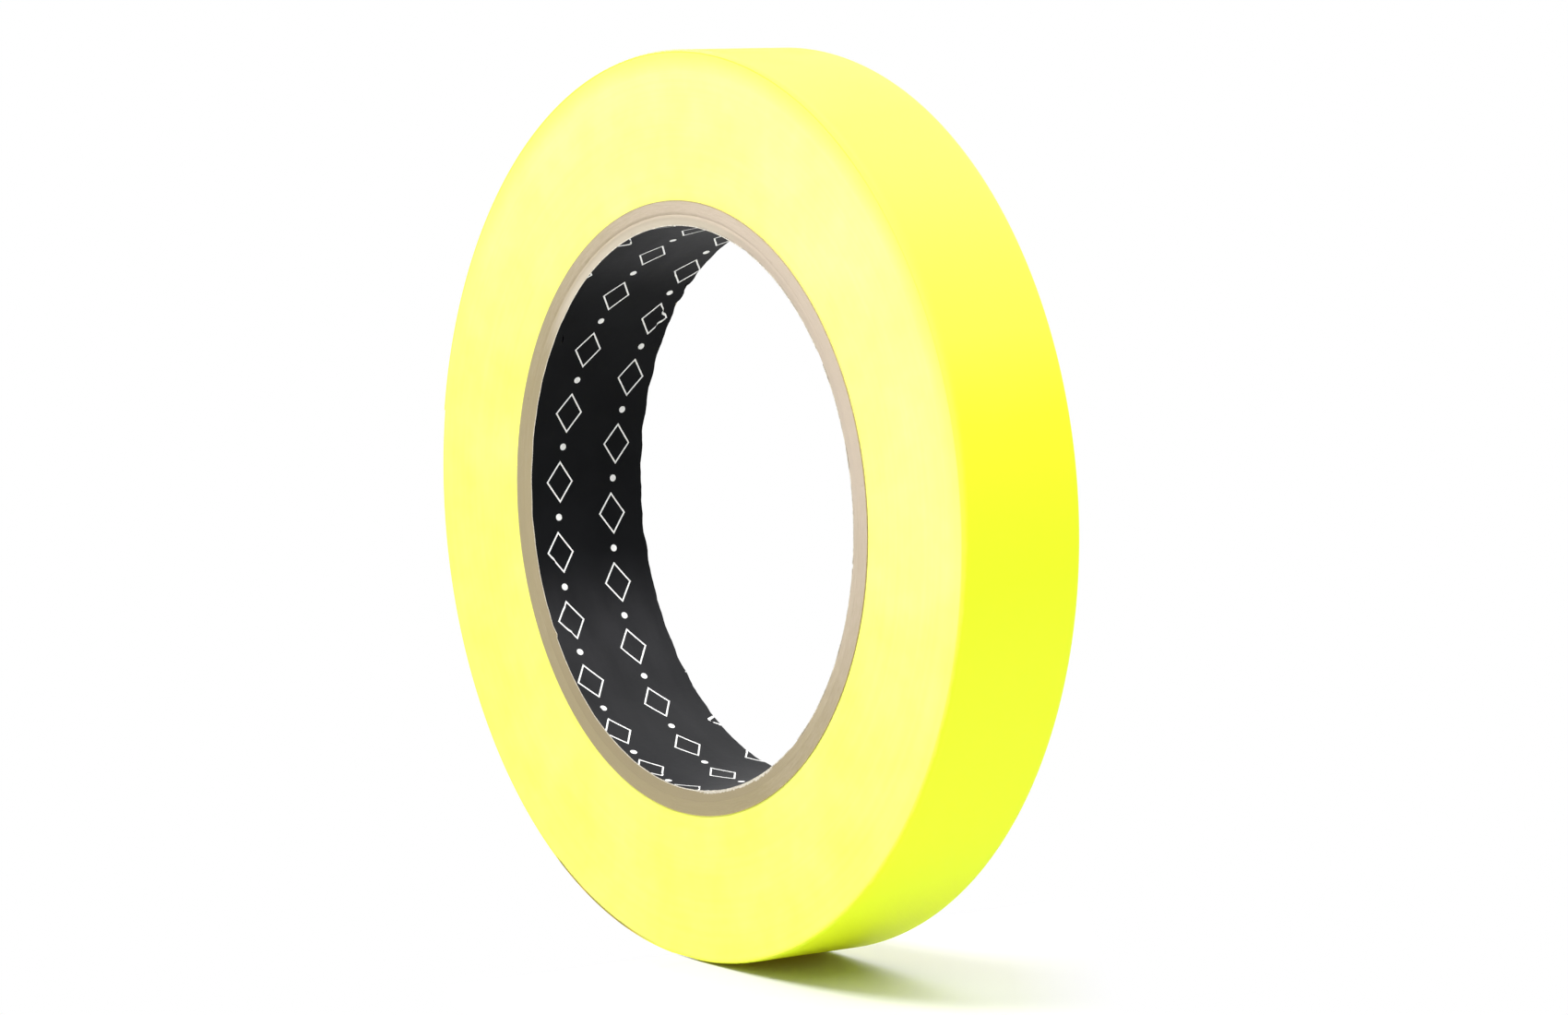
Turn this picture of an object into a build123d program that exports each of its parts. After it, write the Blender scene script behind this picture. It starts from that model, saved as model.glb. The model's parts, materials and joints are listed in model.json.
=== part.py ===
# A roll of cloth tape, 19 mm wide and 25 m long, on a paperboard core with a 3 inch (76.2 mm) bore.
#
# Frame, in millimetres: the origin is at the middle of the bore. +Y runs along the roll's axis, so the front
# side face looks to -Y. +X is to the right and +Z is up, with the roll standing on its tread.
# Angles are measured round the roll from +X towards +Z, which is anticlockwise seen from the front.
#
# Every piece is drawn flat in the X-Y plane, pulled out to the tape's width and then stood up.

import os
from math import acos, degrees, radians

from build123d import *

# the tape: a woven backing with adhesive on its inner side
tape_width = 19.0
tape_length = 25000.0
backing_thickness = 0.185
adhesive_thickness = 0.075

# the core: a printed paper liner, plies of board wound at a slant, and a thin smooth wrap
bore_radius = 38.1
liner_thickness = 0.15
ply_count = 7
ply_thickness = 0.45
wrap_thickness = 0.10

# the tread is pressed flat where the roll stands on it
flat_depth = 0.1
foot_angle = 270.0

# each ply is a strip whose two edges meet in a slanting butt seam
seam_slant = 25.0
seam_gap = 0.3
liner_seam_angle = 25.0
wrap_seam_angle = 205.0
first_ply_seam_angle = 140.0
seam_step = 103.0

# the knife that slits the core presses back the inner edge of its end faces
bevel_outer_radius = 39.6
bevel_depth = 0.35

# the free end: a chain of short rigid lengths of tape, bent outwards at hinges on its outer surface
free_end_root_angle = 112.0
link_spans = (5.0, 5.0, 5.0, 5.0, 10.0, 10.0, 10.0, 10.0)
peel_clearance = 0.03
hinge_gap = 0.04

# sizes that follow from those above
tape_thickness = backing_thickness + adhesive_thickness
core_radius = bore_radius + liner_thickness + ply_count * ply_thickness + wrap_thickness
free_end_angle = free_end_root_angle + sum(link_spans)
half_pitch = tape_thickness / 2
strip_radius_squared = core_radius**2 + tape_length * tape_thickness / radians(180)
# the strip starts half a turn round from +X, so it has an odd number of half turns before its last arc
half_turn_count = 2 * round((strip_radius_squared**0.5 - core_radius) / tape_thickness) - 1


def stand_up(shape, name):
    """Turn a piece drawn in the X-Y plane upright, and name it."""
    piece = shape.rotate(Axis.X, 90)
    piece.label = name
    return piece


def pulled_out(face, width=tape_width):
    """A solid of the tape's width from a face, with its middle at the origin."""
    return extrude(face, amount=width / 2, both=True).solid()


def arc(centre_x, radius, start, end):
    return Edge.make_circle(
        radius,
        Plane(origin=(centre_x, 0, 0)),
        start_angle=start,
        end_angle=end,
    )


def turn_radius(half_turn):
    """The strip's inner radius in one of its half turns."""
    return core_radius + half_pitch * half_turn


def turn_centre(half_turn):
    """Lower half turns are about the bore's centre, and upper ones half a pitch to the left of it."""
    return -half_pitch if half_turn % 2 else 0.0


def path(run, depth):
    """The edges at one depth in the strip, through a run of (half turn, start angle, end angle)."""
    edges = []
    for half_turn, start, end in run:
        centre_x = turn_centre(half_turn)
        radius = turn_radius(half_turn) + depth
        if start < foot_angle < end:
            flat_angle = degrees(acos(1 - flat_depth / radius))
            before = arc(centre_x, radius, start, foot_angle - flat_angle)
            after = arc(centre_x, radius, foot_angle + flat_angle, end)
            edges += [before, Edge.make_line(before @ 1, after @ 0), after]
        else:
            edges.append(arc(centre_x, radius, start, end))
    return edges


def layer(run, low, high):
    """The face between two depths in the strip, through a run of its half turns."""
    inner = path(run, low)
    outer = path(run, high)
    first = Edge.make_line(inner[0] @ 0, outer[0] @ 0)
    last = Edge.make_line(inner[-1] @ 1, outer[-1] @ 1)
    return Face(Wire(inner + outer + [first, last]))


def bevel_cutter():
    """The ring that the knife presses away at the inner edge of both end faces."""
    end = tape_width / 2
    spare = 1.0
    slope = bevel_depth / (bevel_outer_radius - bore_radius)
    inside = bore_radius - spare
    profile = Polyline(
        (bevel_outer_radius, 0, end),
        (inside, 0, end - slope * (bevel_outer_radius - inside)),
        (inside, 0, end + spare),
        (bevel_outer_radius, 0, end + spare),
        close=True,
    )
    ring = revolve(make_face(profile), Axis.Z)
    return ring + mirror(ring, Plane.XY)


def seam_cutter(angle):
    """A thin slanting slab on one side of the core, centred on the seam."""
    reach = 2 * core_radius
    slab = Box(core_radius, reach, seam_gap)
    slab = slab.rotate(Axis.X, seam_slant)
    slab = slab.moved(Location((core_radius, 0, 0)))
    return slab.rotate(Axis.Z, angle)


def core_tube(inner_radius, thickness, seam_angle):
    ring = Circle(inner_radius + thickness) - Circle(inner_radius)
    tube = pulled_out(ring.face())
    return (tube - seam_cutter(seam_angle) - bevel).solid()


bevel = bevel_cutter()
pieces = []

# the core, from the bore outwards
pieces.append(stand_up(core_tube(bore_radius, liner_thickness, liner_seam_angle), "core_liner"))
radius = bore_radius + liner_thickness
for ply in range(ply_count):
    tube = core_tube(radius, ply_thickness, first_ply_seam_angle + seam_step * ply)
    pieces.append(stand_up(tube, f"core_ply_{ply + 1}"))
    radius += ply_thickness
pieces.append(stand_up(core_tube(radius, wrap_thickness, wrap_seam_angle), "core_outer_wrap"))

# the turns under the outermost one, which their adhesive bonds into a single body. Its outside is one turn
# of the strip's spiral, with a step where the free end's edge lies
under = [
    (half_turn_count - 2, free_end_angle, 180),
    (half_turn_count - 1, 180, 360),
    (half_turn_count, 0, free_end_angle),
]
outside = path(under, 0)
step = Edge.make_line(outside[-1] @ 1, outside[0] @ 0)
turns = Face(Wire(outside + [step])) - Circle(core_radius)
pieces.append(stand_up(pulled_out(turns.face()), "wound_turns"))

# the outermost turn, up to the root of the free end
outer_turn = [
    (half_turn_count - 2, free_end_angle, 180),
    (half_turn_count - 1, 180, 360),
    (half_turn_count, 0, free_end_root_angle),
]
adhesive = pulled_out(layer(outer_turn, 0, adhesive_thickness))
backing = pulled_out(layer(outer_turn, adhesive_thickness, tape_thickness))
pieces.append(stand_up(adhesive, "outer_turn_adhesive"))
pieces.append(stand_up(backing, "outer_turn_backing"))

# the free end
gap_angle = hinge_gap / radians(turn_radius(half_turn_count)) / 2
start = free_end_root_angle
for number, span in enumerate(link_spans, 1):
    run = [(half_turn_count, start + gap_angle, start + span - gap_angle)]
    adhesive = pulled_out(layer(run, peel_clearance, adhesive_thickness))
    backing = pulled_out(layer(run, adhesive_thickness, tape_thickness))
    pieces.append(stand_up(adhesive, f"free_end_adhesive_{number}"))
    pieces.append(stand_up(backing, f"free_end_backing_{number}"))
    start += span

os.makedirs("parts", exist_ok=True)
for piece in pieces:
    export_step(piece, f"parts/{piece.label}.step")
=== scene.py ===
import json
import math

import bmesh
import bpy
import numpy as np
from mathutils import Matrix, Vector, noise


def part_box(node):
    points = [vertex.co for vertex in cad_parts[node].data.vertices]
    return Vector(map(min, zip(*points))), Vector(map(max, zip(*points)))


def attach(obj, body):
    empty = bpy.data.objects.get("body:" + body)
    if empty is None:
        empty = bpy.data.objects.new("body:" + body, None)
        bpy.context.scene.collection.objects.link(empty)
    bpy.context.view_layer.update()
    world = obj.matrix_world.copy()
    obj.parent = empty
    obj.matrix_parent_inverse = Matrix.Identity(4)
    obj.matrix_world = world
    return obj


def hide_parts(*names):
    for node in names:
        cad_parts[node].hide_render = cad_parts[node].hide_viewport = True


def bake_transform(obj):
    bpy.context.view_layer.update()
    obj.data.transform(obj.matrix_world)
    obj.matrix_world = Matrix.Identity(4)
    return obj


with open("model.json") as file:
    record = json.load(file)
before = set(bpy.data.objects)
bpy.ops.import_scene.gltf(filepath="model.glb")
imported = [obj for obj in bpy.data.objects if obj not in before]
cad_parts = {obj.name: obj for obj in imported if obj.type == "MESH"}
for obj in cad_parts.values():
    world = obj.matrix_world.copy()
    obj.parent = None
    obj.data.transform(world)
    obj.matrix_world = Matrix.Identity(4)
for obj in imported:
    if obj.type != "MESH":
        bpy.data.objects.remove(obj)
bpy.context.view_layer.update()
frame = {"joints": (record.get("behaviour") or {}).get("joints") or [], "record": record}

# ---------------------------------------------------------------------------------------------------------
# A roll of fluorescent yellow cloth tape on a board core. Lengths are written in millimetres and turned to
# metres by mm. Angles go round the roll from +X towards +Z. The roll's axis is Y, and its front is at -Y.
# Seen from the front, +X is on the right.
# ---------------------------------------------------------------------------------------------------------

mm = 0.001

mounts = {mount["name"]: mount for mount in frame["record"]["mounts"]}
bore_radius = mounts["core_bore"]["dims"]["r_mm"] * mm
half_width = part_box("wound_turns")[1].y
core_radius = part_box("core_outer_wrap")[1].x
wrap_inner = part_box("core_ply_7")[1].x
liner_outer = 2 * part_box("core_ply_1")[1].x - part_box("core_ply_2")[1].x
liner_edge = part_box("core_liner")[1].y
bevel_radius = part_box("core_ply_3")[1].x
under_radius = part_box("wound_turns")[1].x
adhesive_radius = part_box("outer_turn_adhesive")[1].x
roll_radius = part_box("outer_turn_backing")[1].x
floor_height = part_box("outer_turn_backing")[0].z
backing_thickness = roll_radius - adhesive_radius
adhesive_thickness = adhesive_radius - under_radius
tape_thickness = backing_thickness + adhesive_thickness
foot_press = roll_radius + floor_height

hinge_angles = [
    math.atan2(joint["pos_m"][2], joint["pos_m"][0] + tape_thickness / 2) for joint in frame["joints"]
]
free_end_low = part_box("free_end_backing_8")[0].z
free_end_angle = math.pi - math.asin(free_end_low / (adhesive_radius + tape_thickness / 2))
step_angle = free_end_angle - 2 * math.pi

# the tape's edges curl down a little over the last part of its width, which rounds the roll's corners
curl_start = half_width - 0.95 * mm
curl_end = half_width - 0.1 * mm
curl_drop = 0.24 * mm
shoulder_drop = 0.75 * mm

# how finely a shape is cut, and how near two points have to be to be welded into one
column_step = math.radians(1)
side_steps, shoulder_steps, curl_steps, crown_steps = 34, 7, 5, 9
strip_curl_steps = 6
ply_thickness_steps = 4
smoothing_angle = math.radians(35)
weld = 0.0004 * mm


# ---------------------------------------------------------------------------------------------------------
# Shapes
# ---------------------------------------------------------------------------------------------------------


def growth(angle):
    """How far the spiral has grown since +X: nothing below the axis, one tape thickness over the top."""
    if 0 < angle < math.pi:
        return tape_thickness * (1 - math.cos(angle)) / 2
    if angle <= -math.pi:
        return -tape_thickness * (1 + math.cos(angle)) / 2
    return 0.0


def curl(y):
    """How far the tape's edge has curled down at a distance from the middle of its width."""
    past = max(0.0, abs(y) - curl_start) / (curl_end - curl_start)
    return curl_drop * past**2


def place(radius, angle, y):
    """A point round the roll, kept above the patch pressed flat at the foot."""
    z = radius * math.sin(angle)
    return (radius * math.cos(angle), y, max(z, foot_press - radius))


def make_piece(name, points, faces, uvs, materials, material_of_face=None):
    """A mesh with a texture map in millimetres or turns, welded, and smoothed up to an angle."""
    mesh = bpy.data.meshes.new(name)
    mesh.from_pydata([tuple(point) for point in points], [], faces)
    chart = mesh.uv_layers.new(name="Making")
    chart.data.foreach_set("uv", np.array(uvs, np.float32).ravel())
    for material in materials:
        mesh.materials.append(material)
    if material_of_face is not None:
        mesh.polygons.foreach_set("material_index", np.array(material_of_face, np.int32))
    shape = bmesh.new()
    shape.from_mesh(mesh)
    bmesh.ops.remove_doubles(shape, verts=shape.verts, dist=weld)
    bmesh.ops.dissolve_degenerate(shape, edges=shape.edges, dist=weld)
    bmesh.ops.recalc_face_normals(shape, faces=shape.faces)
    shape.to_mesh(mesh)
    shape.free()
    mesh.shade_smooth()
    mesh.set_sharp_from_angle(angle=smoothing_angle)
    piece = bpy.data.objects.new(name, mesh)
    bpy.context.scene.collection.objects.link(piece)
    return piece


def sweep(name, columns, uvs, materials, material_of_row=None, closed=False):
    """A solid from a closed section that is repeated in columns round the roll.

    columns[c][s] is a point and uvs[c][s] its place on the texture map, where each section has one more map
    point than it has points. A closed ring has one more column of map points, and an open one has two ends.
    """
    count, size = len(columns), len(columns[0])
    points = [point for column in columns for point in column]
    faces, chart, chosen = [], [], []
    for c in range(count if closed else count - 1):
        following = (c + 1) % count
        for s in range(size):
            t = (s + 1) % size
            faces.append((c * size + s, following * size + s, following * size + t, c * size + t))
            chart += [uvs[c][s], uvs[c + 1][s], uvs[c + 1][s + 1], uvs[c][s + 1]]
            chosen.append(material_of_row[s] if material_of_row else 0)
    if not closed:
        for c in (0, count - 1):
            faces.append([c * size + s for s in range(size)])
            chart += [uvs[c][s] for s in range(size)]
            chosen.append(max(material_of_row) if material_of_row else 0)
    return make_piece(name, points, faces, chart, materials, chosen)


def tape_strip(name, top, bottom, angles, materials, end_shift=None):
    """A length of tape lying on the roll, between two depths under the outer surface.

    Its map runs up the front wall, across the outer side, down the back wall and back along the inner side.
    The shift moves each point of the last column round the roll, by where it is across the tape.
    """
    middle = np.linspace(-curl_start, curl_start, crown_steps)[1:-1]
    edge = np.linspace(curl_start, curl_end, strip_curl_steps)
    rows = [*(-edge[::-1]), *middle, *edge]
    wall = bottom - top
    section = [(-curl_end, bottom, -curl_end - wall)] + [(row, top, row) for row in rows]
    section += [(row, bottom, 2 * curl_end + wall - row) for row in reversed(rows)]
    columns, uvs = [], []
    for number, angle in enumerate(angles):
        column, chart = [], []
        for y, depth, across in section:
            at = angle
            if end_shift and number == len(angles) - 1:
                at += end_shift(y)
            radius = roll_radius + growth(angle) - depth - curl(y)
            column.append(place(radius, at, y))
            chart.append((roll_radius * at / mm, across / mm))
        columns.append(column[:-1])
        uvs.append(chart)
    return sweep(name, columns, uvs, materials)


def angles_between(start, end):
    """Evenly spaced angles with both ends, no further apart than the column step."""
    return list(np.linspace(start, end, max(2, math.ceil((end - start) / column_step) + 1)))


# ---------------------------------------------------------------------------------------------------------
# Materials. The map Making is in millimetres round the roll and across it, so a pattern's scale on it is the
# number of its grains to a millimetre. Only across the cut edges does it count turns of tape instead. Where a
# pattern goes by Object coordinates, which are in metres, that number is divided by mm.
# ---------------------------------------------------------------------------------------------------------


def colour(code):
    """An sRGB hex colour as linear red, green, blue and a full alpha."""
    channels = [int(code[i : i + 2], 16) / 255 for i in (1, 3, 5)]
    return (*[c / 12.92 if c <= 0.04045 else ((c + 0.055) / 1.055) ** 2.4 for c in channels], 1.0)


def add(tree, kind, inputs=None, stops=(), **settings):
    """Adds a node with its settings and colour stops, and fills its sockets with values or links them."""
    made = tree.nodes.new("ShaderNode" + kind)
    for name, value in settings.items():
        setattr(made, name, value)
    for number, (position, code) in enumerate(stops):
        elements = made.color_ramp.elements
        element = elements[number] if number < 2 else elements.new(position)
        element.position = position
        element.color = colour(code)
    for socket, source in (inputs or {}).items():
        if isinstance(source, bpy.types.NodeSocket):
            tree.links.new(source, made.inputs[socket])
        else:
            made.inputs[socket].default_value = source
    return made


def new_material(name):
    """An empty node material and its tree."""
    material = bpy.data.materials.new(name)
    material.use_nodes = True
    material.node_tree.nodes.clear()
    return material, material.node_tree


def by_height(tree, low, high, lean=0.2):
    """Nothing at the low height and full at the high one, in millimetres from the axis.

    A lean of more than nothing counts the +X side as higher, and one of less the -X side. The low height may
    be above the high one.
    """
    where = add(tree, "TexCoord").outputs["Object"]
    height = add(tree, "VectorMath", {0: where, 1: (lean, 0.0, 1.0)}, operation="DOT_PRODUCT")
    inputs = {"Value": height.outputs["Value"], "From Min": low * mm, "From Max": high * mm}
    return add(tree, "MapRange", inputs, interpolation_type="SMOOTHSTEP").outputs["Result"]


def painted_corner_shade(tree, chart, shade):
    """Painted shade: a mottled brown on one stretch of the front cut edge, at the lower left, thickest in its
    middle.
    """
    first, last = (-roll_radius * math.radians(angle) / mm for angle in (122, 96))
    quick_start, slow_end = 2, 8
    cut_edge = -curl_end / mm + 0.05
    browns = ((0.35, "#8f8420"), (0.65, "#bd9c34"))
    along = add(tree, "SeparateXYZ", {0: chart}).outputs
    start = add(tree, "MapRange", {"Value": along["X"], "From Min": first, "From Max": first + quick_start})
    end = add(tree, "MapRange", {"Value": along["X"], "From Min": last, "From Max": last - slow_end})
    amount = add(tree, "Math", {0: start.outputs[0], 1: end.outputs[0]}, operation="MULTIPLY").outputs[0]
    at_cut = add(tree, "Math", {0: along["Y"], 1: cut_edge}, operation="LESS_THAN").outputs[0]
    amount = add(tree, "Math", {0: amount, 1: at_cut}, operation="MULTIPLY").outputs[0]
    mottle = add(tree, "TexNoise", {"Vector": chart, "Scale": 0.35, "Detail": 3.0}).outputs["Fac"]
    brown = add(tree, "ValToRGB", {"Fac": mottle}, stops=browns).outputs["Color"]
    return add(tree, "Mix", {"Factor": amount, "A": shade, "B": brown}, data_type="RGBA").outputs["Result"]


# cotton cloth with a fluorescent polyethylene coating, calendered matt: an even yellow with a painted glow,
# and painted paler at the top as a sheen and greener at the foot as shade. Its threads are too fine to show
# at arm's length, and are drawn a little coarse and weak
thread_spacing = 0.42
half_wave = math.pi / thread_spacing
painted_light_height = 125 * mm
painted_light_middle = 0.47
cloudiness = 0.06
coated_cloth, tree = new_material("matt_coated_cotton_cloth")
chart = add(tree, "UVMap", uv_map="Making").outputs["UV"]
across = add(tree, "SeparateXYZ", {0: chart})
warp = add(tree, "Math", {0: across.outputs["X"], 1: half_wave}, operation="MULTIPLY").outputs[0]
weft = add(tree, "Math", {0: across.outputs["Y"], 1: half_wave}, operation="MULTIPLY").outputs[0]
warp_wave = add(tree, "Math", {0: warp}, operation="SINE").outputs[0]
weft_wave = add(tree, "Math", {0: weft}, operation="SINE").outputs[0]
over_under = add(tree, "Math", {0: warp_wave, 1: weft_wave}, operation="MULTIPLY").outputs[0]
slubs = add(tree, "TexNoise", {"Vector": chart, "Scale": 0.6, "Detail": 3.0}).outputs["Fac"]
cloth_relief = add(tree, "Math", {0: over_under, 1: 0.35, 2: slubs}, operation="MULTIPLY_ADD").outputs[0]
cloth_bump = add(tree, "Bump", {"Height": cloth_relief, "Strength": 0.35, "Distance": 0.03 * mm})
cloudy = add(tree, "TexNoise", {"Vector": chart, "Scale": 0.045, "Detail": 2.0}).outputs["Fac"]
where = add(tree, "TexCoord").outputs["Object"]
# painted light: the yellow is painted paler towards the top as a sheen and greener towards the foot as shade,
# under a cloudy mottle
height = add(
    tree, "VectorMath", {0: where, 1: (0.0, 0.0, 1 / painted_light_height)}, operation="DOT_PRODUCT"
).outputs["Value"]
painted_light_and_cloud = add(tree, "Math", {0: cloudy, 1: cloudiness, 2: height}, operation="MULTIPLY_ADD").outputs[0]
painted_light_and_cloud = add(tree, "Math", {0: painted_light_and_cloud, 1: painted_light_middle}, operation="ADD").outputs[0]
painted_light_tones = (
    (0.0, "#def606"),
    (0.2, "#e8fc08"),
    (0.47, "#ecff0e"),
    (0.63, "#eeff28"),
    (0.72, "#efff40"),
    (0.85, "#efff3f"),
    (0.93, "#f0ff37"),
    (0.985, "#f2ff47"),
    (1.0, "#f2ff10"),
)
coating = add(tree, "ValToRGB", {"Fac": painted_light_and_cloud}, stops=painted_light_tones).outputs["Color"]
# the tread is paler along the front edge, over a wider band at the top, where it is also a little greener
band_at_foot, band_at_top, fully_pale = -8.8, -7.4, -9.2
band = add(
    tree, "MapRange", {"Value": by_height(tree, -10, 50), "To Min": band_at_foot, "To Max": band_at_top}
).outputs["Result"]
band_edge = add(tree, "Math", {0: slubs, 1: 0.4, 2: across.outputs["Y"]}, operation="MULTIPLY_ADD").outputs[0]
limits = {"Value": band_edge, "From Min": band, "From Max": fully_pale}
pale_edge = add(tree, "MapRange", limits, interpolation_type="SMOOTHSTEP").outputs["Result"]
paled = {"Factor": by_height(tree, -60, 60), "A": colour("#f3f84c"), "B": colour("#f4fe4a")}
pale_band = add(tree, "Mix", paled, data_type="RGBA").outputs["Result"]
coating = add(tree, "Mix", {"Factor": pale_edge, "A": coating, "B": pale_band}, data_type="RGBA").outputs["Result"]
# painted shade along the front cut edge on the lower left
coating = painted_corner_shade(tree, chart, coating)
# the emission is a painted glow for the fluorescent dye, tinted orange to warm the roll's shadow on the floor
shader = add(
    tree,
    "BsdfPrincipled",
    {
        "Base Color": coating,
        "Roughness": 0.55,
        "IOR": 1.45,
        "Emission Color": colour("#ffd000"),
        "Emission Strength": 0.05,
        "Normal": cloth_bump.outputs["Normal"],
    },
)
add(tree, "OutputMaterial", {"Surface": shader.outputs[0]})

# the same tape seen edge on: knife-cut cotton, coating and adhesive in turn, paler and more matt than the
# coating. A turn is too fine to show at arm's length, so the tone of each turn is drawn over three
saturated_from, saturated_to = 65.0, 77.0
cut_edges, tree = new_material("knife_cut_tape_edges")
chart = add(tree, "UVMap", uv_map="Making").outputs["UV"]
parts = add(tree, "SeparateXYZ", {0: chart})
turn_phase = add(tree, "Math", {0: parts.outputs["Y"], 1: 2 * math.pi}, operation="MULTIPLY").outputs[0]
turn_ridge = add(tree, "Math", {0: turn_phase}, operation="COSINE").outputs[0]
stretched = add(tree, "Mapping", {"Vector": chart, "Scale": (0.02, 0.33, 1.0)}).outputs[0]
turn_tone = add(tree, "TexNoise", {"Vector": stretched, "Scale": 1.0, "Detail": 4.0}).outputs["Fac"]
fuzz = add(tree, "TexNoise", {"Vector": chart, "Scale": 1.7, "Detail": 3.0}).outputs["Fac"]
edge_relief = add(tree, "Math", {0: turn_ridge, 1: 0.25, 2: turn_tone}, operation="MULTIPLY_ADD").outputs[0]
edge_relief = add(tree, "Math", {0: fuzz, 1: 0.3, 2: edge_relief}, operation="MULTIPLY_ADD").outputs[0]
edge_bump = add(tree, "Bump", {"Height": edge_relief, "Strength": 0.25, "Distance": 0.04 * mm})
where = add(tree, "TexCoord").outputs["Object"]
handled = add(tree, "TexNoise", {"Vector": where, "Scale": 0.028 / mm, "Detail": 2.0})
patches = add(tree, "TexNoise", {"Vector": where, "Scale": 0.095 / mm, "Detail": 3.0, "Roughness": 0.6})
# painted light: the edges are painted paler with height and towards the right, and vary in broad patches and
# small ones, and some turns more than others
painted_light_and_patches = by_height(tree, -45, 80, 0.35)
for pattern, strength in ((handled.outputs["Fac"], 0.9), (patches.outputs["Fac"], 1.5), (turn_tone, 0.5)):
    painted_light_and_patches = add(tree, "Math", {0: pattern, 1: strength, 2: painted_light_and_patches}, operation="MULTIPLY_ADD").outputs[0]
painted_light_and_patches = add(tree, "Math", {0: painted_light_and_patches, 1: 0.4, 2: -0.28}, operation="MULTIPLY_ADD").outputs[0]
edge_yellows = ((0.1, "#f0f55c"), (0.9, "#fcff98"))
edge_shade = add(tree, "ValToRGB", {"Fac": painted_light_and_patches}, stops=edge_yellows).outputs["Color"]
# the outermost turns take on a more saturated yellow towards the top
outermost = add(
    tree, "MapRange", {"Value": parts.outputs["Y"], "From Min": saturated_from, "From Max": saturated_to}
).outputs["Result"]
saturated_rim = add(tree, "Math", {0: outermost, 1: by_height(tree, -10, 50)}, operation="MULTIPLY").outputs[0]
edge_shade = add(
    tree, "Mix", {"Factor": saturated_rim, "A": edge_shade, "B": colour("#f6fe5c")}, data_type="RGBA"
).outputs["Result"]
# the emission is a painted glow for the fluorescent dye
shader = add(
    tree,
    "BsdfPrincipled",
    {
        "Base Color": edge_shade,
        "Roughness": 0.62,
        "IOR": 1.45,
        "Emission Color": colour("#f4ff50"),
        "Emission Strength": 0.04,
        "Normal": edge_bump.outputs["Normal"],
    },
)
add(tree, "OutputMaterial", {"Surface": shader.outputs[0]})

# natural rubber adhesive, knife coated: a pale tacky film with a soft shine
adhesive, tree = new_material("rubber_adhesive_film")
chart = add(tree, "UVMap", uv_map="Making").outputs["UV"]
streaks = add(tree, "TexNoise", {"Vector": chart, "Scale": 0.8, "Detail": 4.0}).outputs["Fac"]
rubber_tones = ((0.3, "#dfe08c"), (0.7, "#ebec9e"))
film = add(tree, "ValToRGB", {"Fac": streaks}, stops=rubber_tones).outputs["Color"]
film_bump = add(tree, "Bump", {"Height": streaks, "Strength": 0.4, "Distance": 0.05 * mm})
# along the cut edges lint from the cloth has stuck to it
across = add(tree, "SeparateXYZ", {0: chart}).outputs["Y"]
inside = add(tree, "Math", {0: across, 1: 2 * curl_end / mm}, operation="SUBTRACT").outputs[0]
from_middle = add(tree, "Math", {0: inside}, operation="ABSOLUTE").outputs[0]
linty = add(tree, "Math", {0: from_middle, 1: curl_end / mm}, operation="GREATER_THAN").outputs[0]
film = add(
    tree, "Mix", {"Factor": linty, "A": film, "B": colour("#f5fb64")}, data_type="RGBA"
).outputs["Result"]
# painted shade along the front cut edge on the lower left
film = painted_corner_shade(tree, chart, film)
shader = add(
    tree,
    "BsdfPrincipled",
    {"Base Color": film, "Roughness": 0.32, "IOR": 1.52, "Normal": film_bump.outputs["Normal"]},
)
add(tree, "OutputMaterial", {"Surface": shader.outputs[0]})
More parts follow.
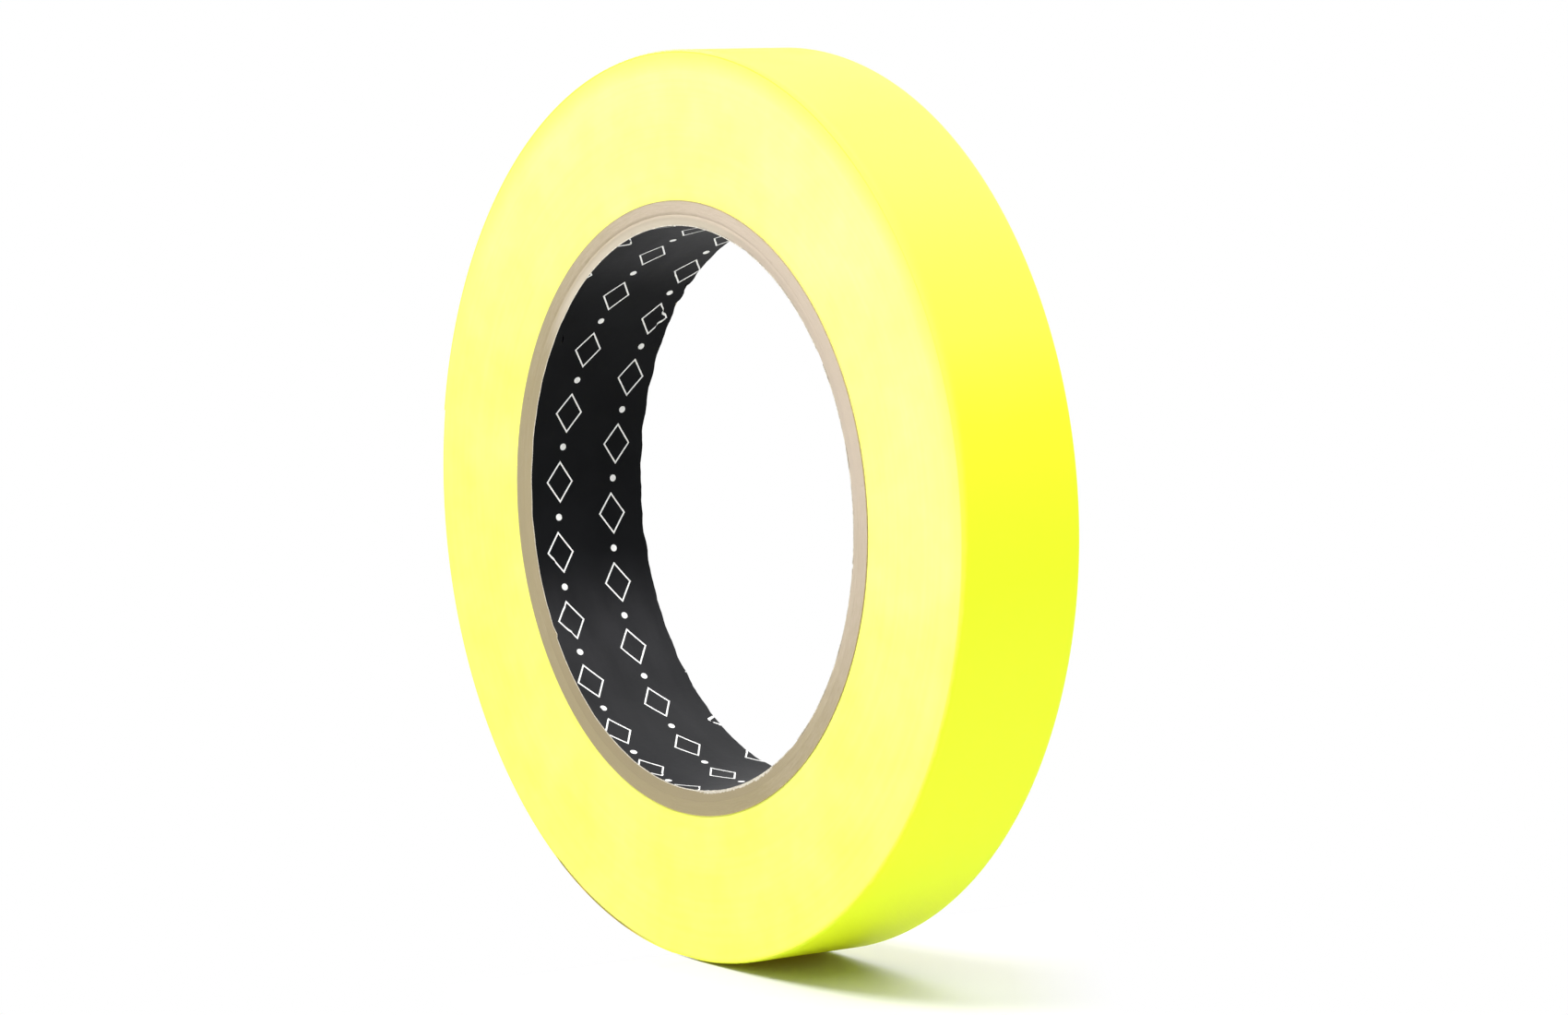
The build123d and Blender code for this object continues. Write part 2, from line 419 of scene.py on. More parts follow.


# grey chipboard, laminated and cut by a slitting knife: short fibres in a drab beige, rough to the touch. It
# is mottled, and painted light makes it palest and greyest towards the top and the right
def chipboard(name, fibre_length, relief, roughness, pressed=False):
    """Chipboard with fibres of a length in millimetres. The knife presses the plies back at the bore."""
    material, tree = new_material(name)
    chart = add(tree, "UVMap", uv_map="Making").outputs["UV"]
    along = add(tree, "Mapping", {"Vector": chart, "Scale": (1 / fibre_length, 3.0, 1.0)}).outputs[0]
    fibres = add(tree, "TexNoise", {"Vector": along, "Scale": 1.0, "Detail": 5.0, "Roughness": 0.6})
    where = add(tree, "TexCoord").outputs["Object"]
    # painted light: palest and greyest towards the top and the right
    rightward = add(tree, "VectorMath", {0: where, 1: (0.7, 0.0, 0.7)}, operation="DOT_PRODUCT")
    limits = {"Value": rightward.outputs["Value"], "From Min": -16 * mm, "From Max": 37 * mm}
    painted_light_and_mottle = add(tree, "MapRange", limits).outputs["Result"]
    patch = add(tree, "TexNoise", {"Vector": where, "Scale": 0.06 / mm, "Detail": 3.0}).outputs["Fac"]
    for pattern, strength in ((patch, 0.5), (fibres.outputs["Fac"], 0.6)):
        painted_light_and_mottle = add(tree, "Math", {0: pattern, 1: strength, 2: painted_light_and_mottle}, operation="MULTIPLY_ADD").outputs[0]
    painted_light_and_mottle = add(tree, "Math", {0: painted_light_and_mottle, 1: 0.5}, operation="MULTIPLY").outputs[0]
    beiges = ((0.3, "#9e9171"), (0.75, "#c0b19f"))
    shade = add(tree, "ValToRGB", {"Fac": painted_light_and_mottle}, stops=beiges).outputs["Color"]
    if pressed:
        # painted shade darkens it at the foot
        painted_foot_shade = {"Factor": by_height(tree, -15, -38), "A": shade, "B": colour("#938668")}
        shade = add(tree, "Mix", painted_foot_shade, data_type="RGBA").outputs["Result"]
        # over the top, on the left, it is paler, most of all next to the bore
        flat = add(tree, "VectorMath", {0: where, 1: (1.0, 0.0, 1.0)}, operation="MULTIPLY").outputs[0]
        radius = add(tree, "VectorMath", {0: flat}, operation="LENGTH").outputs["Value"]
        limits = {"Value": radius, "From Min": bevel_radius, "From Max": bore_radius + 0.6 * mm}
        near_bore = add(tree, "MapRange", limits).outputs["Result"]
        over_top = by_height(tree, 30, 37, -0.35)
        pale_band = add(tree, "Math", {0: near_bore, 1: over_top}, operation="MULTIPLY").outputs[0]
        paler_top = {"Factor": pale_band, "A": shade, "B": colour("#c8bda9")}
        shade = add(tree, "Mix", paler_top, data_type="RGBA").outputs["Result"]
        # at the foot of the core the first ply has split in shreds, and shows its pale middle
        shred_length, split_height = 0.9 * mm, 1.5 * mm
        shred = add(tree, "TexNoise", {"Vector": where, "Scale": 1.6 / mm, "Detail": 4.0, "Roughness": 0.6})
        shredded = {0: shred.outputs["Fac"], 1: shred_length, 2: radius}
        ragged = add(tree, "Math", shredded, operation="MULTIPLY_ADD").outputs[0]
        above_foot = by_height(tree, -40.3, -36.2, -0.34)
        ragged = {0: above_foot, 1: split_height, 2: ragged}
        ragged = add(tree, "Math", ragged, operation="MULTIPLY_ADD").outputs[0]
        limits = {"Value": ragged, "From Min": bore_radius + 0.9 * mm, "From Max": bore_radius + 0.7 * mm}
        split = add(tree, "MapRange", limits).outputs["Result"]
        pale = {"Factor": split, "A": shade, "B": colour("#d2ccbf")}
        shade = add(tree, "Mix", pale, data_type="RGBA").outputs["Result"]
    bump = add(tree, "Bump", {"Height": fibres.outputs["Fac"], "Strength": 0.5, "Distance": relief * mm})
    shader = add(
        tree,
        "BsdfPrincipled",
        {"Base Color": shade, "Roughness": roughness, "IOR": 1.45, "Normal": bump.outputs["Normal"]},
    )
    add(tree, "OutputMaterial", {"Surface": shader.outputs[0]})
    return material


# the outer plies, cut clean and left rough
board = chipboard("knife_cut_chipboard", 1.6, 0.12, 0.85)
# the inner plies, which the knife presses back
pressed_board = chipboard("pressed_chipboard_edge", 2.4, 0.08, 0.7, pressed=True)

# kraft paper, machine glazed: the thin smooth wrap that the first turn sticks to
kraft, tree = new_material("machine_glazed_kraft_paper")
chart = add(tree, "UVMap", uv_map="Making").outputs["UV"]
grain = add(tree, "TexNoise", {"Vector": chart, "Scale": 1.5, "Detail": 4.0}).outputs["Fac"]
kraft_browns = ((0.3, "#a08d68"), (0.7, "#b6a47e"))
kraft_shade = add(tree, "ValToRGB", {"Fac": grain}, stops=kraft_browns).outputs["Color"]
shader = add(tree, "BsdfPrincipled", {"Base Color": kraft_shade, "Roughness": 0.7, "IOR": 1.45})
add(tree, "OutputMaterial", {"Surface": shader.outputs[0]})

# liner paper, flooded with black ink and varnished: a dull satin with the paper's grain under it
black_paper, tree = new_material("satin_black_printed_paper")
chart = add(tree, "UVMap", uv_map="Making").outputs["UV"]
grain = add(tree, "TexNoise", {"Vector": chart, "Scale": 1.1, "Detail": 5.0}).outputs["Fac"]
blotches = add(tree, "TexNoise", {"Vector": chart, "Scale": 0.12, "Detail": 2.0}).outputs["Fac"]
ink_blacks = ((0.3, "#0b0c0e"), (0.7, "#131416"))
ink_shade = add(tree, "ValToRGB", {"Fac": blotches}, stops=ink_blacks).outputs["Color"]
# painted light greys it along its length, in streaks: over the top and below the middle, and half as much at
# the foot
above_foot = by_height(tree, -29, -22, 0.0)
painted_light_grey = add(tree, "Math", {0: above_foot, 1: 0.5, 2: 0.5}, operation="MULTIPLY_ADD").outputs[0]
over_top = by_height(tree, 27, 34, 0.0)
below_middle = by_height(tree, -9, -22, 0.0)
painted_light_grey = add(tree, "Math", {0: painted_light_grey, 1: below_middle, 2: over_top}, operation="MULTIPLY_ADD").outputs[0]
streaked = add(tree, "Mapping", {"Vector": chart, "Scale": (0.08, 0.3, 1.0)}).outputs[0]
painted_light_streaks = add(tree, "TexNoise", {"Vector": streaked, "Scale": 1.0, "Detail": 4.0}).outputs["Fac"]
painted_light_streaks = add(tree, "Math", {0: painted_light_streaks, 1: 1.2, 2: 0.3}, operation="MULTIPLY_ADD").outputs[0]
painted_light_grey = add(tree, "Math", {0: painted_light_grey, 1: painted_light_streaks}, operation="MULTIPLY", use_clamp=True).outputs[0]
ink_shade = add(
    tree, "Mix", {"Factor": painted_light_grey, "A": ink_shade, "B": colour("#2b2b2d")}, data_type="RGBA"
).outputs["Result"]
paper_relief = add(tree, "Math", {0: blotches, 1: 3.0, 2: grain}, operation="MULTIPLY_ADD").outputs[0]
paper_bump = add(tree, "Bump", {"Height": paper_relief, "Strength": 0.35, "Distance": 0.05 * mm})
# at the foot its front edge is torn in a ragged fringe, and the pale fibres show
fringe_length, fringe_height = 2.6, 1.2
torn_from, fully_torn = -10.05, -10.15
across = add(tree, "SeparateXYZ", {0: chart})
fray = add(tree, "TexNoise", {"Vector": chart, "Scale": 0.9, "Detail": 5.0, "Roughness": 0.7})
fringe = {0: fray.outputs["Fac"], 1: -fringe_length, 2: across.outputs["Y"]}
ragged = add(tree, "Math", fringe, operation="MULTIPLY_ADD").outputs[0]
above_foot = by_height(tree, -40.3, -35.8, -0.34)
ragged = add(tree, "Math", {0: above_foot, 1: fringe_height, 2: ragged}, operation="MULTIPLY_ADD").outputs[0]
limits = {"Value": ragged, "From Min": torn_from, "From Max": fully_torn}
torn = add(tree, "MapRange", limits).outputs["Result"]
ink_shade = add(
    tree, "Mix", {"Factor": torn, "A": ink_shade, "B": colour("#b9b2a2")}, data_type="RGBA"
).outputs["Result"]
shader = add(
    tree,
    "BsdfPrincipled",
    {
        "Base Color": ink_shade,
        "Roughness": 0.5,
        "IOR": 1.4,
        "Specular IOR Level": 0.08,
        "Normal": paper_bump.outputs["Normal"],
    },
)
add(tree, "OutputMaterial", {"Surface": shader.outputs[0]})

# white flexographic ink on that paper: thin lines with a slightly uneven tone
white_ink, tree = new_material("white_flexographic_ink")
chart = add(tree, "UVMap", uv_map="Making").outputs["UV"]
patchy = add(tree, "TexNoise", {"Vector": chart, "Scale": 1.4, "Detail": 3.0}).outputs["Fac"]
ink_whites = ((0.25, "#e2e2e0"), (0.6, "#fcfcfa"))
white_shade = add(tree, "ValToRGB", {"Fac": patchy}, stops=ink_whites).outputs["Color"]
shader = add(tree, "BsdfPrincipled", {"Base Color": white_shade, "Roughness": 0.5, "IOR": 1.5})
add(tree, "OutputMaterial", {"Surface": shader.outputs[0]})

# the bare paper inside the liner: matt and fibrous, and seen where it is cut and torn
paper_edge, tree = new_material("torn_white_paper")
chart = add(tree, "UVMap", uv_map="Making").outputs["UV"]
fibres = add(tree, "TexNoise", {"Vector": chart, "Scale": 3.0, "Detail": 4.0}).outputs["Fac"]
paper_whites = ((0.3, "#b8b0a0"), (0.7, "#e4ded0"))
paper_shade = add(tree, "ValToRGB", {"Fac": fibres}, stops=paper_whites).outputs["Color"]
shader = add(tree, "BsdfPrincipled", {"Base Color": paper_shade, "Roughness": 0.8, "IOR": 1.45})
add(tree, "OutputMaterial", {"Surface": shader.outputs[0]})


# ---------------------------------------------------------------------------------------------------------
# The wound tape
# ---------------------------------------------------------------------------------------------------------


# in millimetres: a slow wave from turn to turn, a quick one, and how far the first turns lie back at the core
slow_depth, quick_depth, first_turn_depth = 0.03, 0.01, 0.12


def side_wave(radius, angle):
    """How far a turn's edge lies back from the roll's full width: never quite even from turn to turn."""
    turn = (radius - core_radius) / tape_thickness - angle / (2 * math.pi)
    slow = noise.noise(Vector((turn * 0.11, 3.0 * math.cos(angle), 3.0 * math.sin(angle))))
    quick = noise.noise(Vector((turn * 0.9, 1.3, 0.0)))
    start = math.exp(-(radius - core_radius) / (0.5 * mm))
    return (slow_depth * (1 + slow) + quick_depth * (1 + quick) + first_turn_depth * start) * mm


def wound_section(angle):
    """The wound turns' section at an angle: up the back side face, over the top and down the front.

    The two corners are doubled, since the cut side faces and the coated top are mapped separately.
    """
    outer = under_radius + growth(angle)
    lasting = under_radius - tape_thickness - shoulder_drop
    climb = np.linspace(core_radius, lasting, side_steps)
    back = [(r, half_width - side_wave(r, angle)) for r in climb]
    reach = half_width - side_wave(lasting, angle)
    shoulder = []
    for share in np.linspace(0, 1, shoulder_steps)[1:-1]:
        y = curl_end + (reach - curl_end) * math.cos(share * math.pi / 2)
        top = outer - curl_drop
        shoulder.append((lasting + (top - lasting) * math.sin(share * math.pi / 2), y))
    side = back + shoulder + [(outer - curl_drop, curl_end)]
    edge = [(outer - curl(y), y) for y in np.linspace(curl_end, curl_start, curl_steps)]
    crown = [(outer, y) for y in np.linspace(curl_start, -curl_start, crown_steps)[1:-1]]
    top = edge + crown + [(r, -y) for r, y in reversed(edge)]
    return side, top, [(r, -y) for r, y in reversed(side)]


columns, uvs = [], []
for angle in angles_between(step_angle, free_end_angle):
    back_side, top, front_side = wound_section(angle)
    columns.append([place(r, angle, y) for r, y in back_side + top + front_side])
    arc = roll_radius * angle / mm
    turn = [(r - core_radius) / tape_thickness - angle / (2 * math.pi) for r, y in back_side]
    chart = [(arc, t) for t in turn] + [(arc, y / mm) for r, y in top] + [(arc, t) for t in reversed(turn)]
    uvs.append(chart + chart[:1])
uvs.append(uvs[0])
# the inside of the roll, on the core, is mapped with the cut edges
surfaces = [0] * len(back_side) + [1] * (len(top) - 1) + [0] * (len(front_side) + 1)
wound_turns = sweep("wound_turns_of_tape", columns, uvs, [cut_edges, coated_cloth], surfaces, closed=True)
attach(wound_turns, "roll")
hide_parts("wound_turns")

first_bend = hinge_angles[0] - (hinge_angles[1] - hinge_angles[0]) / 2
outer_angles = angles_between(step_angle, first_bend)
outer_backing = tape_strip("outer_turn_cloth", 0.0, backing_thickness, outer_angles, [coated_cloth])
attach(outer_backing, "roll")
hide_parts("outer_turn_backing")
outer_adhesive = tape_strip(
    "outer_turn_adhesive_film", backing_thickness, tape_thickness, outer_angles, [adhesive]
)
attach(outer_adhesive, "roll")
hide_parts("outer_turn_adhesive")


# ---------------------------------------------------------------------------------------------------------
# The free end: each piece runs from the middle of one rigid length to the middle of the next, over the
# hinge between them
# ---------------------------------------------------------------------------------------------------------


jog_depth = 0.35 * mm
jogs_back = 0.6


def torn_edge(y):
    """A hand-torn end: the cloth parts along a weft thread with small jogs, mostly a little short."""
    jog = noise.noise(Vector((y / mm * 0.9, 7.0, 0.0))) + 0.4 * noise.noise(Vector((y / mm * 4.0, 2.0, 0.0)))
    return jog_depth * (jog - jogs_back) / roll_radius


hinge_bodies = ["roll"] + [f"free_end_{number}" for number in range(1, 9)]
spans = [b - a for a, b in zip(hinge_angles, hinge_angles[1:] + [free_end_angle])]
# the free end's adhesive stops just short of the turn that it lies on, so that it can peel
peel_gap = 0.03 * mm
edges = [first_bend] + [a + span / 2 for a, span in zip(hinge_angles, spans)] + [free_end_angle]
free_layers = (
    ("free_end_cloth", 0.0, backing_thickness, coated_cloth, "free_end_backing", "yellow_coated_cloth"),
    (
        "free_end_adhesive_film",
        backing_thickness,
        tape_thickness - peel_gap,
        adhesive,
        "free_end_adhesive",
        "rubber_adhesive",
    ),
)
for title, top, bottom, material, node_name, slot_name in free_layers:
    for number, (start, end) in enumerate(zip(edges, edges[1:])):
        last = number == len(hinge_angles)
        piece = tape_strip(
            f"{title}_{number}",
            top,
            bottom,
            angles_between(start, end),
            [material],
            torn_edge if last else None,
        )
        if number:
            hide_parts(f"{node_name}_{number}")
        if last:
            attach(piece, hinge_bodies[-1])
            continue
        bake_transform(piece)


# ---------------------------------------------------------------------------------------------------------
# The core: a tube of slanting plies, each with a butt seam
# ---------------------------------------------------------------------------------------------------------

seam_slant = math.radians(25)
liner_seam = 0.3 * mm
board_seam = 0.05 * mm

# the groove that the knife leaves in the core's ends
groove_width = 0.3 * mm
groove_depth = 0.12 * mm
groove_angle = math.radians(110)

# how the liner's two edges are worn, in millimetres
front_fray = 0.07
back_fray = 0.3
nick_depth = 4.0
tear_depth = 0.6
tear_angles = (math.radians(133.5), math.radians(139))
tear_width = math.radians(0.9)

pucker_height = 0.09 * mm


def end_of_core(radius, angle):
    """Half the core's width at a radius: full width, then pressed back towards the bore.

    The knife leaves a soft groove where it starts to press, deepest over the top on the left.
    """
    back = (bevel_radius - radius) / (bevel_radius - bore_radius) * (half_width - liner_edge)
    nearness = max(0.0, 1 - abs(bevel_radius - radius) / groove_width)
    groove = groove_depth * nearness * max(0.0, math.cos(angle - groove_angle))
    return half_width - max(0.0, back) - groove


def torn_paper(angle, side):
    """How far the liner's edge stands out over the pressed board: a little frayed, with a few nicks.

    At the back it frays further, and is torn in two places where something has caught it.
    """
    along = bore_radius * angle / mm
    fray = 0.5 + noise.noise(Vector((along * 0.35, side * 5, 1.0)))
    fray = max(0.0, fray + 0.3 * noise.noise(Vector((along * 2, 3, side))))
    nick = max(0.0, noise.noise(Vector((along * 0.23, side * 9, 8.0))) - 0.42)
    if side < 0:
        return front_fray * fray * mm - nick_depth * nick * mm
    offsets = [math.remainder(angle - tear, 2 * math.pi) / tear_width for tear in tear_angles]
    tears = sum(math.exp(-(offset**2)) for offset in offsets)
    return back_fray * min(1.0, fray) * mm - nick_depth * nick * mm - tear_depth * tears * mm


def liner_wrinkle(angle, y):
    """How far the liner stands off the board: it is glued down nearly flat, with a few soft puckers."""
    spot = Vector((bore_radius * angle / mm * 0.09, y / mm * 0.13, 4.0))
    return pucker_height * max(0.0, noise.noise(spot) - 0.1)


def core_tube(name, inner, outer, seam_angle, materials, rows, columns, fuzz=0.0, liner=False):
    """A ply bent round into a tube, whose edges meet in a slanting seam.

    It is a closed section of rows across the width, outside and inside, repeated in columns round the tube.
    Its cut ends are a little fuzzy, or torn on the liner, and have the last of its materials.
    """
    middle = (inner + outer) / 2
    half_gap = (liner_seam if liner else board_seam) / math.sin(seam_slant) / 2 / middle
    radii = np.linspace(inner, outer, ply_thickness_steps)
    shares = np.linspace(-1, 1, rows)
    section = [(r, -1.0) for r in radii] + [(outer, share) for share in shares[1:-1]]
    section += [(r, 1.0) for r in reversed(radii)] + [(inner, -share) for share in shares[1:-1]]
    points, uvs = [], []
    for turn in np.linspace(0, 1, columns):
        column, chart = [], []
        for r, share in section + section[:1]:
            slide = math.asin(share * liner_edge / math.tan(seam_slant) / middle)
            angle = seam_angle + slide + half_gap + turn * 2 * (math.pi - half_gap)
            around = Vector((r * math.cos(angle), r * math.sin(angle), share)) / mm
            lump = 0.5 + noise.noise(around * 1.3) / 2 + 0.25 * noise.noise(around * 4.0)
            if liner:
                y = share * liner_edge + share**5 * torn_paper(angle, share)
            else:
                y = share * end_of_core(r, angle) - share**5 * fuzz * max(0.0, lump)
            shape = r - liner_wrinkle(angle, y) if liner else r
            column.append((shape * math.cos(angle), y, shape * math.sin(angle)))
            chart.append((middle * angle / mm, (r - bore_radius + y) / mm))
        points.append(column[:-1])
        uvs.append(chart)
    cut = [len(materials) - 1] * (len(radii) - 1)
    side = [0] * (rows - 1)
    return sweep(name, points, uvs, materials, cut + side + cut + side)


seam_angle = math.radians(140)
seam_advance = math.radians(103)
pressed_plies = 3
fine_fuzz, coarse_fuzz = 0.03 * mm, 0.05 * mm
ply_rows, ply_columns = 20, 241
for number in range(1, 8):
    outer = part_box(f"core_ply_{number}")[1].x
    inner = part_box(f"core_ply_{number - 1}")[1].x if number > 1 else liner_outer
    pressed = number <= pressed_plies
    ply = core_tube(
        f"board_ply_{number}",
        inner,
        outer,
        seam_angle,
        [pressed_board if pressed else board],
        ply_rows,
        ply_columns,
        fine_fuzz if pressed else coarse_fuzz,
    )
    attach(ply, "roll")
    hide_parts(f"core_ply_{number}")
    seam_angle += seam_advance

wrap_seam = math.radians(205)
wrap = core_tube("kraft_wrap", wrap_inner, core_radius, wrap_seam, [kraft], ply_rows, ply_columns, fine_fuzz)
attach(wrap, "roll")
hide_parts("core_outer_wrap")

# the liner's faces are black, and its cut ends show the white paper
liner_seam_angle = math.radians(25)
liner_rows, liner_columns = 39, 361
liner = core_tube(
    "printed_liner",
    bore_radius,
    liner_outer,
    liner_seam_angle,
    [black_paper, paper_edge],
    liner_rows,
    liner_columns,
    liner=True,
)
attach(liner, "roll")
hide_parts("core_liner")


# ---------------------------------------------------------------------------------------------------------
# The print on the liner: slanting rows of open lozenges with dots between them, drawn flat in millimetres
# and bent round the bore
# ---------------------------------------------------------------------------------------------------------

around = 2 * math.pi * bore_radius / mm
print_edge = liner_edge / mm - 0.02
line_width = 0.23
lozenge_length, lozenge_height = 6.0, 4.4
dot_radius = 0.5
# a lozenge's sides are cut short enough to follow the bore, and a dot is a solid with twelve sides
lozenge_cuts, dot_sides = 8, 12
lozenges_in_row = 24
lozenge_pitch = around / lozenges_in_row
row_pitch = 9.0
# the rows slant, so that each meets the next but one after a turn
row_slant = 2 * row_pitch / around
ink_lift, ink_thickness = 0.006, 0.012


def outline(centre, corners, cuts, inside):
    """A closed line in short quads. Its inner edge is the outer one shrunk, to nothing for a solid shape."""
    quads = []
    shares = np.linspace(0, 1, cuts + 1)
    for (x0, y0), (x1, y1) in zip(corners, corners[1:] + corners[:1]):
        for start, end in zip(shares, shares[1:]):
            p = (x0 + (x1 - x0) * start, y0 + (y1 - y0) * start)
            q = (x0 + (x1 - x0) * end, y0 + (y1 - y0) * end)
            rim = (p, q, (q[0] * inside, q[1] * inside), (p[0] * inside, p[1] * inside))
            quads.append([(centre[0] + x, centre[1] + y) for x, y in rim])
    return quads


a, b = lozenge_length / 2, lozenge_height / 2
lozenge = [(a, 0), (0, b), (-a, 0), (0, -b)]
lozenge_inside = 1 - line_width / (a * b / math.hypot(a, b))
dot_turns = np.linspace(0, 2 * math.pi, dot_sides + 1)[:-1]
dot = [(dot_radius * math.cos(turn), dot_radius * math.sin(turn)) for turn in dot_turns]
motifs = ((0.0, lozenge, lozenge_cuts, lozenge_inside), (0.5, dot, 1, 0.0))
ink = bmesh.new()
# the rows run past the liner on all sides, and are then cut to its edges and to one turn
for row in range(-2, 5):
    for number in range(-2, lozenges_in_row + 3):
        shapes = []
        for share, corners, cuts, inside in motifs:
            at = (number + share + (row % 2) / 2) * lozenge_pitch
            centre = (at, (row + 0.5) * row_pitch - at * row_slant)
            shapes += outline(centre, corners, cuts, inside)
        for quad in shapes:
            ink.faces.new([ink.verts.new((x, y, 0)) for x, y in quad])
bmesh.ops.remove_doubles(ink, verts=ink.verts, dist=0.001)
limits = (
    ((0, print_edge, 0), (0, 1, 0)),
    ((0, -print_edge, 0), (0, -1, 0)),
    ((0, 0, 0), (-1, 0, 0)),
    ((around, 0, 0), (1, 0, 0)),
)
for edge, outward in limits:
    geometry = ink.verts[:] + ink.edges[:] + ink.faces[:]
    bmesh.ops.bisect_plane(
        ink, geom=geometry, dist=0.0001, plane_co=edge, plane_no=outward, clear_outer=True
    )
# the film of ink follows the paper's frayed edge and its puckers
film = bmesh.ops.extrude_face_region(ink, geom=ink.faces[:])
bmesh.ops.translate(ink, verts=[v for v in film["geom"] if isinstance(v, bmesh.types.BMVert)], vec=(0, 0, 1))
ink.verts.index_update()
points, flat = [], []
for vert in ink.verts:
    flat.append((vert.co.x, vert.co.y))
    angle, y = vert.co.x * mm / bore_radius, vert.co.y * mm
    share = y / liner_edge
    y += share**5 * torn_paper(angle, share)
    radius = bore_radius - liner_wrinkle(angle, y) - (ink_lift + ink_thickness * vert.co.z) * mm
    points.append((radius * math.cos(angle), y, radius * math.sin(angle)))
# sorted, since the cuts leave the faces in no fixed order
faces = sorted([vert.index for vert in face.verts] for face in ink.faces)
chart = [flat[corner] for face in faces for corner in face]
ink.free()
printed = make_piece("liner_print", points, faces, chart, [white_ink])
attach(printed, "roll")


# ---------------------------------------------------------------------------------------------------------
# Setting: a white paper sweep, one lamp from the upper left in front and three broader ones round it
# ---------------------------------------------------------------------------------------------------------

floor_bounce = 0.7
floor_white = 0.68
floor_reach = 4000 * mm
room_light = 0.75
key_power = 1.7
back_power = 1.5
left_power = 2.0
right_power = 1.95


def seen_directly(tree):
    """One for rays from the eye, a mirror or glass, and nothing for rays that carry light."""
    path = add(tree, "LightPath").outputs
    seen = add(tree, "Math", {0: path["Is Camera Ray"], 1: path["Is Glossy Ray"]}, operation="MAXIMUM")
    seen = add(tree, "Math", {0: seen.outputs[0], 1: path["Is Transmission Ray"]}, operation="MAXIMUM")
    return seen.outputs[0]


# a white paper sweep: to the eye it is lit paper in the roll's shadow, to the right of its foot, and fades
# into plain white all round
shadow_middle = (32 * mm, 8 * mm, floor_height)
shadow_near, shadow_far = 42 * mm, 64 * mm
tail_near, tail_far = 36 * mm, 49 * mm
tail_direction = (0.58, 0.81, 0.0)
left_fade = 3 * mm
white_paper, tree = new_material("white_paper_sweep")
seen = seen_directly(tree)
greys = {"Factor": seen, "A": (*[floor_bounce] * 3, 1), "B": (*[floor_white] * 3, 1)}
paper_shade = add(tree, "Mix", greys, data_type="RGBA")
lit_paper = add(tree, "BsdfDiffuse", {"Color": paper_shade.outputs["Result"]})
plain_white = add(tree, "Emission", {"Color": (1, 1, 1, 1), "Strength": 1.0})
spot = add(tree, "NewGeometry").outputs["Position"]
away = add(tree, "VectorMath", {0: spot, 1: shadow_middle}, operation="DISTANCE").outputs["Value"]
limits = {"Value": away, "From Min": shadow_near, "From Max": shadow_far}
far = add(tree, "MapRange", limits).outputs["Result"]
# painted light: left of the foot the paper turns plain white, which paints out the roll's shadow there
sideways = add(tree, "SeparateXYZ", {0: spot}).outputs["X"]
limits = {"Value": sideways, "From Min": left_fade, "From Max": -left_fade}
left = add(tree, "MapRange", limits).outputs["Result"]
far = add(tree, "Math", {0: far, 1: left}, operation="MAXIMUM").outputs[0]
# painted light: to the back right the shadow's tail is painted out in plain white
outward = add(tree, "VectorMath", {0: spot, 1: tail_direction}, operation="DOT_PRODUCT").outputs["Value"]
limits = {"Value": outward, "From Min": tail_near, "From Max": tail_far}
tail = add(tree, "MapRange", limits).outputs["Result"]
far = add(tree, "Math", {0: far, 1: tail}, operation="MAXIMUM").outputs[0]
far = add(tree, "Math", {0: far, 1: seen}, operation="MULTIPLY").outputs[0]
sweep_shader = add(tree, "MixShader", {0: far, 1: lit_paper.outputs[0], 2: plain_white.outputs[0]})
add(tree, "OutputMaterial", {"Surface": sweep_shader.outputs[0]})

low, high = -floor_reach, floor_reach
corners = [(low, low), (high, low), (high, high), (low, high)]
floor_mesh = bpy.data.meshes.new("floor")
floor_mesh.from_pydata([(x, y, floor_height) for x, y in corners], [], [(0, 1, 2, 3)])
floor_mesh.materials.append(white_paper)
floor = bpy.data.objects.new("floor", floor_mesh)
bpy.context.scene.collection.objects.link(floor)

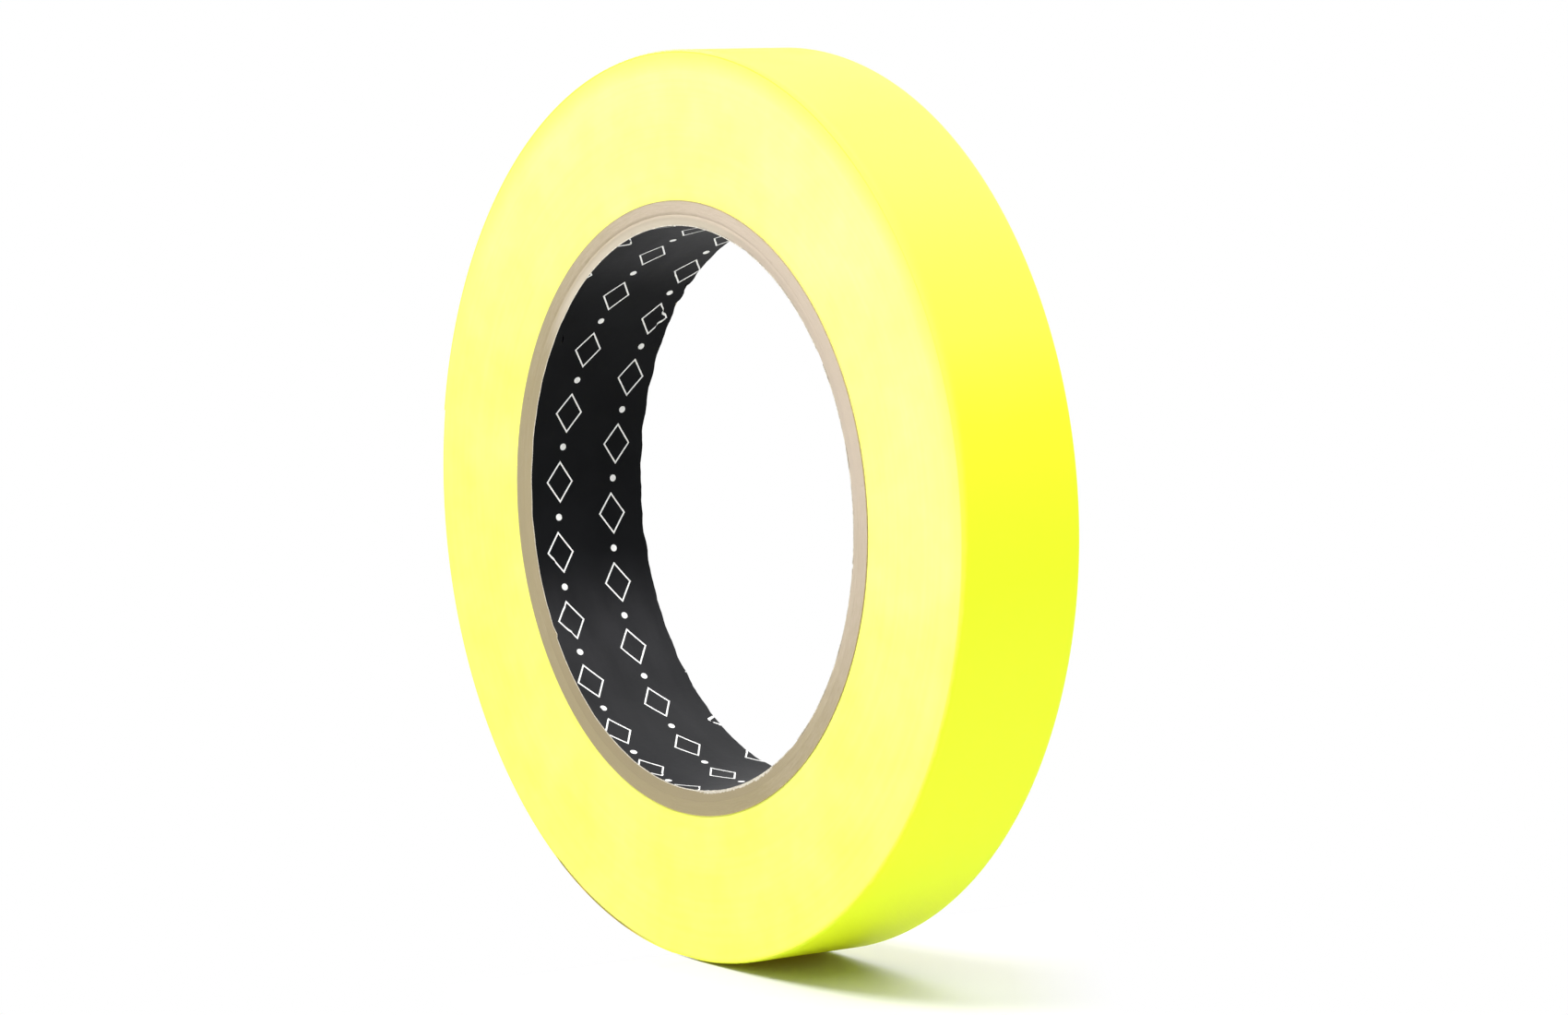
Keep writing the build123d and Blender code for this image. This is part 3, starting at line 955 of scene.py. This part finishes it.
# the room: white to the eye, and to the object a soft light that grows with height
world = bpy.data.worlds.new("studio")
bpy.context.scene.world = world
world.use_nodes = True
tree = world.node_tree
tree.nodes.clear()
direction = add(tree, "TexCoord").outputs["Generated"]
height = add(tree, "SeparateXYZ", {0: direction}).outputs["Z"]
overhead = add(tree, "MapRange", {"Value": height, "From Min": 0.0, "From Max": 0.9, "To Max": room_light})
surround = add(tree, "Background", {"Color": (1, 1, 1, 1), "Strength": overhead.outputs["Result"]})
backdrop = add(tree, "Background", {"Color": (1, 1, 1, 1), "Strength": 1.0})
mixed = add(tree, "MixShader", {0: seen_directly(tree), 1: surround.outputs[0], 2: backdrop.outputs[0]})
add(tree, "OutputWorld", {"Surface": mixed.outputs[0]})


def lamp(name, direction, distance, size, power):
    """A square soft box that looks at the roll from a direction."""
    data = bpy.data.lights.new(name, "AREA")
    data.shape = "SQUARE"
    data.size = size
    data.energy = power
    made = bpy.data.objects.new(name, data)
    made.location = Vector(direction).normalized() * distance
    made.rotation_euler = Vector(direction).to_track_quat("Z", "Y").to_euler()
    bpy.context.scene.collection.objects.link(made)


lamp("key_soft_box", (0.1, -0.62, 1.15), 400 * mm, 160 * mm, key_power)
lamp("back_soft_box", (-0.1, 0.6, 0.8), 500 * mm, 400 * mm, back_power)
lamp("left_soft_box", (-1.0, 0.15, 0.33), 550 * mm, 400 * mm, left_power)
lamp("right_soft_box", (1.0, -0.15, 1.1), 700 * mm, 400 * mm, right_power)

# the camera looks along the roll's side at a slant, with the roll a little left of the middle
azimuth, elevation, distance = math.radians(54.82), math.radians(6.44), 689.8 * mm
aim_right, aim_down = 5.83 * mm, 0.43 * mm
back = Vector(
    (
        math.sin(azimuth) * math.cos(elevation),
        -math.cos(azimuth) * math.cos(elevation),
        math.sin(elevation),
    )
)
right = Vector((math.cos(azimuth), math.sin(azimuth), 0))
camera_data = bpy.data.cameras.new("camera")
camera_data.lens = 116.62
camera_data.sensor_width = 36
camera_data.clip_start = 10 * mm
camera = bpy.data.objects.new("camera", camera_data)
bpy.context.scene.collection.objects.link(camera)
camera.location = back * distance
aim = right * aim_right - Vector((0, 0, aim_down))
camera.rotation_euler = (camera.location - aim).to_track_quat("Z", "Y").to_euler()
bpy.context.scene.camera = camera
bpy.context.scene.view_settings.view_transform = "Standard"
